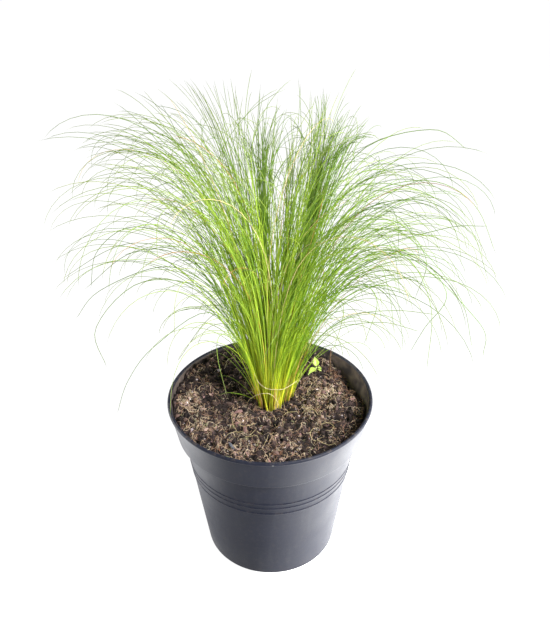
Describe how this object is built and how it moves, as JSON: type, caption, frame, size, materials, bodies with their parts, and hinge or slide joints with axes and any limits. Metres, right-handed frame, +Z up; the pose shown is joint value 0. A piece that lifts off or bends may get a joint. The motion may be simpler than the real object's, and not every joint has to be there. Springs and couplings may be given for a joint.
{
  "type": "potted mexican feather grass",
  "caption": "Clump of hair-fine arching feather grass growing in potting soil in a round dark plastic nursery pot, with a small seedling beside it.",
  "frame": {"origin": "centre of the pot's underside", "axes": "+Z up along the pot's axis, -Y towards the front as pictured, +X to the right as pictured"},
  "size_m": [0.3672, 0.2556, 0.4256],
  "materials": {
    "pot_plastic": "satin",
    "soil": "matte",
    "grass": "satin",
    "seedling": "satin",
    "dry_stalk": "matte"
  },
  "bodies": {
    "root": {"pot": "pot_plastic", "soil": "soil", "grass_tuft_01": "grass", "grass_tuft_02": "grass", "grass_tuft_03": "grass", "grass_tuft_04": "grass", "grass_tuft_05": "grass", "grass_tuft_06": "grass", "grass_tuft_07": "grass", "grass_tuft_08": "grass", "grass_tuft_09": "grass", "grass_tuft_10": "grass", "grass_tuft_11": "grass", "grass_tuft_12": "grass", "grass_tuft_13": "grass", "grass_tuft_14": "grass", "grass_tuft_15": "grass", "grass_tuft_16": "grass", "grass_tuft_17": "grass", "grass_tuft_18": "grass", "grass_tuft_19": "grass", "grass_tuft_20": "grass", "grass_tuft_21": "grass", "grass_tuft_22": "grass", "grass_tuft_23": "grass", "grass_tuft_24": "grass", "grass_tuft_25": "grass", "grass_tuft_26": "grass", "grass_tuft_27": "grass", "grass_tuft_28": "grass", "grass_tuft_29": "grass", "grass_tuft_30": "grass", "grass_tuft_31": "grass", "grass_tuft_32": "grass", "grass_tuft_33": "grass", "grass_tuft_34": "grass", "grass_tuft_35": "grass", "grass_tuft_36": "grass", "grass_tuft_37": "grass", "grass_tuft_38": "grass", "grass_tuft_39": "grass", "grass_tuft_40": "grass", "grass_tuft_41": "grass", "grass_tuft_42": "grass", "grass_tuft_43": "grass", "grass_tuft_44": "grass", "grass_tuft_45": "grass", "grass_tuft_46": "grass", "grass_tuft_47": "grass", "grass_tuft_48": "grass", "grass_tuft_49": "grass", "grass_tuft_50": "grass", "seedling_stem": "seedling", "seedling_leaf_1": "seedling", "seedling_leaf_2": "seedling", "seedling_leaf_3": "seedling", "seedling_leaf_4": "seedling", "dead_stalk": "dry_stalk"}
  },
  "joints": []
}
